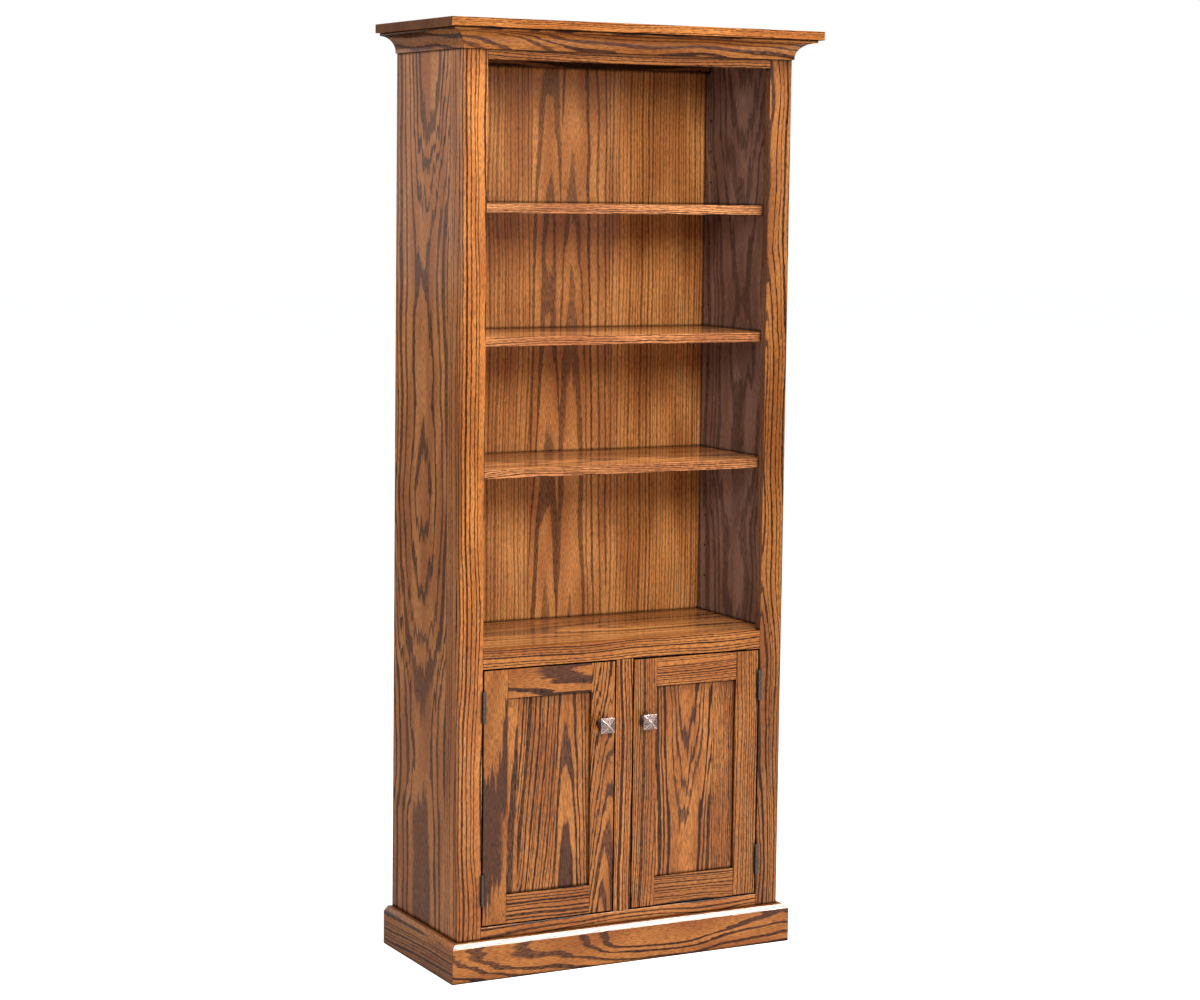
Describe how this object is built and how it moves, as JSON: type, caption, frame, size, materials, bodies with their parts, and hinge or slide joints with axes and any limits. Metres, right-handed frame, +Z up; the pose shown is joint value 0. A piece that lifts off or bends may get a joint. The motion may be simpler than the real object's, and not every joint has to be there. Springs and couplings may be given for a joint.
{
  "type": "bookcase with cabinet doors",
  "caption": "Tall oak bookcase with adjustable shelves over a cupboard closed by inset panel doors, with a cove crown and a chamfered base.",
  "frame": {"origin": "on the floor under the middle of the top board, which is the middle of the whole bounding box", "axes": "+Z up, +Y towards the wall behind, +X to the right for someone who faces the doors"},
  "size_m": [0.805, 0.3586, 1.829],
  "materials": {
    "oak": "stained solid red oak under satin lacquer, dark open grain",
    "oak_veneer": "stained red oak veneered board under satin lacquer",
    "hinge_metal": "gunmetal, satin",
    "knob_metal": "hammered aged copper plating with bright edges",
    "nickel": "nickel plated steel",
    "brown_plastic": "moulded, matt"
  },
  "bodies": {
    "case": {"top_board": "oak", "crown_front": "oak", "crown_left": "oak", "crown_right": "oak", "base_front": "oak", "base_left": "oak", "base_right": "oak", "side_left": "oak_veneer", "side_right": "oak_veneer", "sub_top": "oak_veneer", "fixed_shelf": "oak_veneer", "cupboard_floor": "oak_veneer", "back_panel": "oak_veneer", "top_nailer": "oak", "stile_left": "oak", "stile_right": "oak", "rail_top": "oak", "rail_middle": "oak", "rail_bottom": "oak", "centre_post": "oak", "shelf_lower": "oak_veneer", "shelf_middle": "oak_veneer", "shelf_upper": "oak_veneer", "shelf_pin_lower_left_front": "nickel", "shelf_pin_lower_left_rear": "nickel", "shelf_pin_lower_right_front": "nickel", "shelf_pin_lower_right_rear": "nickel", "shelf_pin_middle_left_front": "nickel", "shelf_pin_middle_left_rear": "nickel", "shelf_pin_middle_right_front": "nickel", "shelf_pin_middle_right_rear": "nickel", "shelf_pin_upper_left_front": "nickel", "shelf_pin_upper_left_rear": "nickel", "shelf_pin_upper_right_front": "nickel", "shelf_pin_upper_right_rear": "nickel", "frame_left_hinge_lower": "hinge_metal", "frame_left_hinge_upper": "hinge_metal", "frame_right_hinge_lower": "hinge_metal", "frame_right_hinge_upper": "hinge_metal", "magnetic_catch": "brown_plastic"},
    "door_left": {"door_left_hinge_stile": "oak", "door_left_lock_stile": "oak", "door_left_rail_lower": "oak", "door_left_rail_upper": "oak", "door_left_panel": "oak_veneer", "door_left_knob": "knob_metal", "door_left_knob_screw": "nickel", "door_left_hinge_lower_leaf": "hinge_metal", "door_left_hinge_upper_leaf": "hinge_metal", "door_left_strike": "nickel"},
    "door_right": {"door_right_hinge_stile": "oak", "door_right_lock_stile": "oak", "door_right_rail_lower": "oak", "door_right_rail_upper": "oak", "door_right_panel": "oak_veneer", "door_right_knob": "knob_metal", "door_right_knob_screw": "nickel", "door_right_hinge_lower_leaf": "hinge_metal", "door_right_hinge_upper_leaf": "hinge_metal", "door_right_strike": "nickel"}
  },
  "joints": [
    {"name": "door_left_hinge", "type": "hinge", "parent": "case", "child": "door_left", "pos_m": [-0.3054, -0.13625, 0.35], "axis": [0, 0, -1], "range_deg": [0, 180]},
    {"name": "door_right_hinge", "type": "hinge", "parent": "case", "child": "door_right", "pos_m": [0.3054, -0.13625, 0.35], "axis": [0, 0, 1], "range_deg": [0, 180]}
  ]
}
